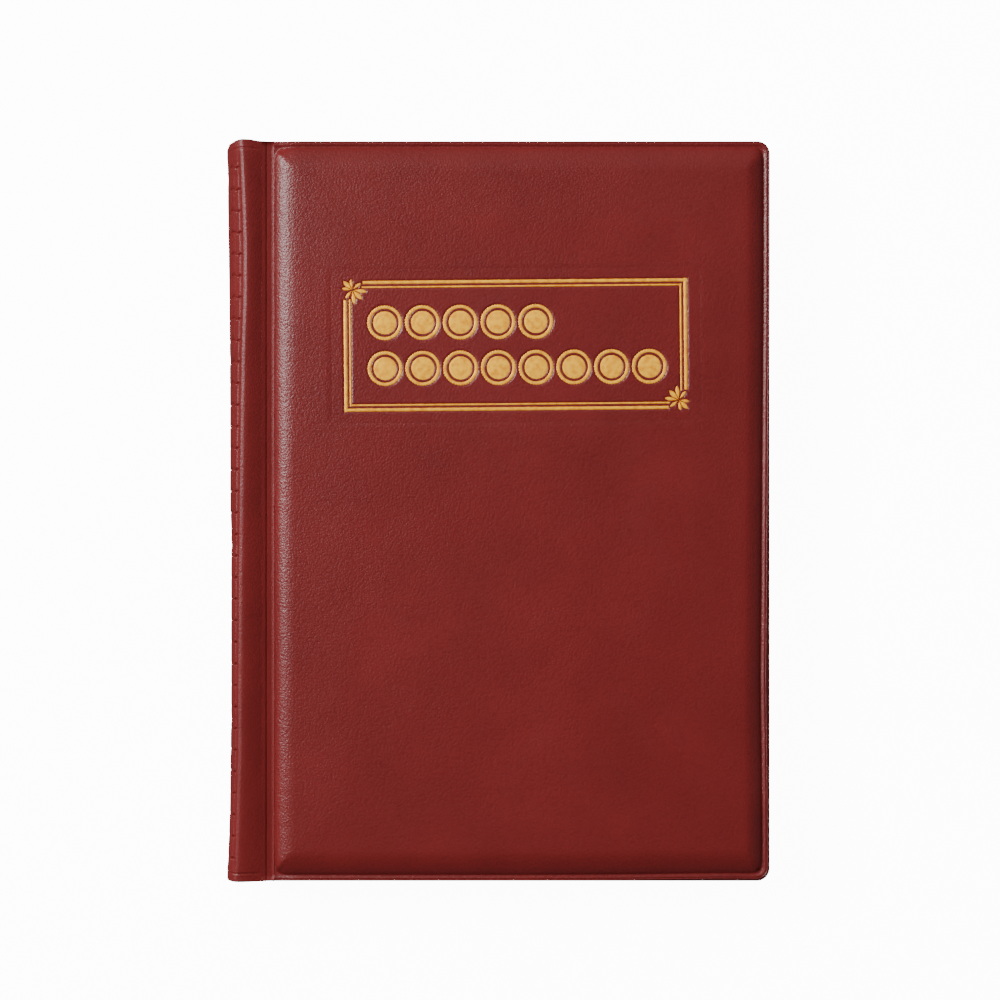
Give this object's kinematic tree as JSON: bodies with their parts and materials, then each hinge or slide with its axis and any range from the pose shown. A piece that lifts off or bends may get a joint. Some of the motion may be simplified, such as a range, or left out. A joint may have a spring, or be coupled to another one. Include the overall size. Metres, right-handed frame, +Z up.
{
  "type": "coin album",
  "caption": "Closed pocket album for coins with padded leatherette covers, a soft ribbed spine, foil-stamped frame and hinged leaves of clear film pockets.",
  "frame": {"origin": "middle of the back cover's outer face, which the closed album lies on", "axes": "+Y towards the head of the album, +Z up through its thickness to the front cover, -X the spine and +X the open edge"},
  "size_m": [0.1504, 0.205, 0.0201],
  "materials": {
    "cover_skin": "satin grained leatherette",
    "spine_skin": "satin embossed leatherette",
    "hinge_web": "satin, pressed and welded",
    "foam": "soft open-cell foam",
    "board": "grey-brown greyboard",
    "lining": "smooth matt-backed vinyl sheet",
    "foil": "hot-stamped gold foil",
    "stub": "smooth vinyl strip",
    "film": "clear soft vinyl film"
  },
  "bodies": {
    "back_cover": {"back_skin": "cover_skin", "back_foam": "foam", "back_board": "board", "back_liner": "lining"},
    "spine": {"spine_skin": "spine_skin", "spine_foam": "foam", "spine_liner": "lining", "binding_strip": "lining", "front_hinge_web": "hinge_web", "back_hinge_web": "hinge_web"},
    "front_cover": {"front_skin": "cover_skin", "front_foam": "foam", "front_board": "board", "front_liner": "lining", "foil_frame": "foil", "foil_sprigs": "foil", "foil_discs": "foil"},
    "leaf_01": {"leaf_01_stub": "stub", "leaf_01_back_film": "film", "leaf_01_pockets": "film"},
    "leaf_02": {"leaf_02_stub": "stub", "leaf_02_back_film": "film", "leaf_02_pockets": "film"},
    "leaf_03": {"leaf_03_stub": "stub", "leaf_03_back_film": "film", "leaf_03_pockets": "film"},
    "leaf_04": {"leaf_04_stub": "stub", "leaf_04_back_film": "film", "leaf_04_pockets": "film"},
    "leaf_05": {"leaf_05_stub": "stub", "leaf_05_back_film": "film", "leaf_05_pockets": "film"},
    "leaf_06": {"leaf_06_stub": "stub", "leaf_06_back_film": "film", "leaf_06_pockets": "film"},
    "leaf_07": {"leaf_07_stub": "stub", "leaf_07_back_film": "film", "leaf_07_pockets": "film"},
    "leaf_08": {"leaf_08_stub": "stub", "leaf_08_back_film": "film", "leaf_08_pockets": "film"},
    "leaf_09": {"leaf_09_stub": "stub", "leaf_09_back_film": "film", "leaf_09_pockets": "film"},
    "leaf_10": {"leaf_10_stub": "stub", "leaf_10_back_film": "film", "leaf_10_pockets": "film"}
  },
  "joints": [
    {"name": "back_hinge", "type": "hinge", "parent": "back_cover", "child": "spine", "pos_m": [-0.06325, 0, 0.00395], "axis": [0, -1, 0], "range_deg": [0, 90], "deforming": ["back_hinge_web"]},
    {"name": "front_hinge", "type": "hinge", "parent": "spine", "child": "front_cover", "pos_m": [-0.06325, 0, 0.01605], "axis": [0, -1, 0], "range_deg": [0, 90], "deforming": ["front_hinge_web"]},
    {"name": "leaf_01_fold", "type": "hinge", "parent": "spine", "child": "leaf_01", "pos_m": [-0.0619, 0, 0.00519], "axis": [0, -1, 0], "range_deg": [-88.21, 0]},
    {"name": "leaf_02_fold", "type": "hinge", "parent": "spine", "child": "leaf_02", "pos_m": [-0.0614, 0, 0.00626], "axis": [0, -1, 0], "range_deg": [-85.51, 0]},
    {"name": "leaf_03_fold", "type": "hinge", "parent": "spine", "child": "leaf_03", "pos_m": [-0.0609, 0, 0.00732], "axis": [0, -1, 0], "range_deg": [-82.81, 0]},
    {"name": "leaf_04_fold", "type": "hinge", "parent": "spine", "child": "leaf_04", "pos_m": [-0.0604, 0, 0.00839], "axis": [0, -1, 0], "range_deg": [-80.11, 0]},
    {"name": "leaf_05_fold", "type": "hinge", "parent": "spine", "child": "leaf_05", "pos_m": [-0.0599, 0, 0.00946], "axis": [0, -1, 0], "range_deg": [-77.41, 0]},
    {"name": "leaf_06_fold", "type": "hinge", "parent": "spine", "child": "leaf_06", "pos_m": [-0.0599, 0, 0.01053], "axis": [0, -1, 0], "range_deg": [0, 77.41]},
    {"name": "leaf_07_fold", "type": "hinge", "parent": "spine", "child": "leaf_07", "pos_m": [-0.0604, 0, 0.01161], "axis": [0, -1, 0], "range_deg": [0, 80.11]},
    {"name": "leaf_08_fold", "type": "hinge", "parent": "spine", "child": "leaf_08", "pos_m": [-0.0609, 0, 0.01268], "axis": [0, -1, 0], "range_deg": [0, 82.81]},
    {"name": "leaf_09_fold", "type": "hinge", "parent": "spine", "child": "leaf_09", "pos_m": [-0.0614, 0, 0.01375], "axis": [0, -1, 0], "range_deg": [0, 85.51]},
    {"name": "leaf_10_fold", "type": "hinge", "parent": "spine", "child": "leaf_10", "pos_m": [-0.0619, 0, 0.01482], "axis": [0, -1, 0], "range_deg": [0, 88.21]}
  ],
  "couplings": [
    {"joint": "leaf_01_fold", "follows": "back_hinge", "ratio": -0.98},
    {"joint": "leaf_02_fold", "follows": "back_hinge", "ratio": -0.95},
    {"joint": "leaf_03_fold", "follows": "back_hinge", "ratio": -0.92},
    {"joint": "leaf_04_fold", "follows": "back_hinge", "ratio": -0.89},
    {"joint": "leaf_05_fold", "follows": "back_hinge", "ratio": -0.86},
    {"joint": "leaf_06_fold", "follows": "front_hinge", "ratio": 0.86},
    {"joint": "leaf_07_fold", "follows": "front_hinge", "ratio": 0.89},
    {"joint": "leaf_08_fold", "follows": "front_hinge", "ratio": 0.92},
    {"joint": "leaf_09_fold", "follows": "front_hinge", "ratio": 0.95},
    {"joint": "leaf_10_fold", "follows": "front_hinge", "ratio": 0.98}
  ]
}
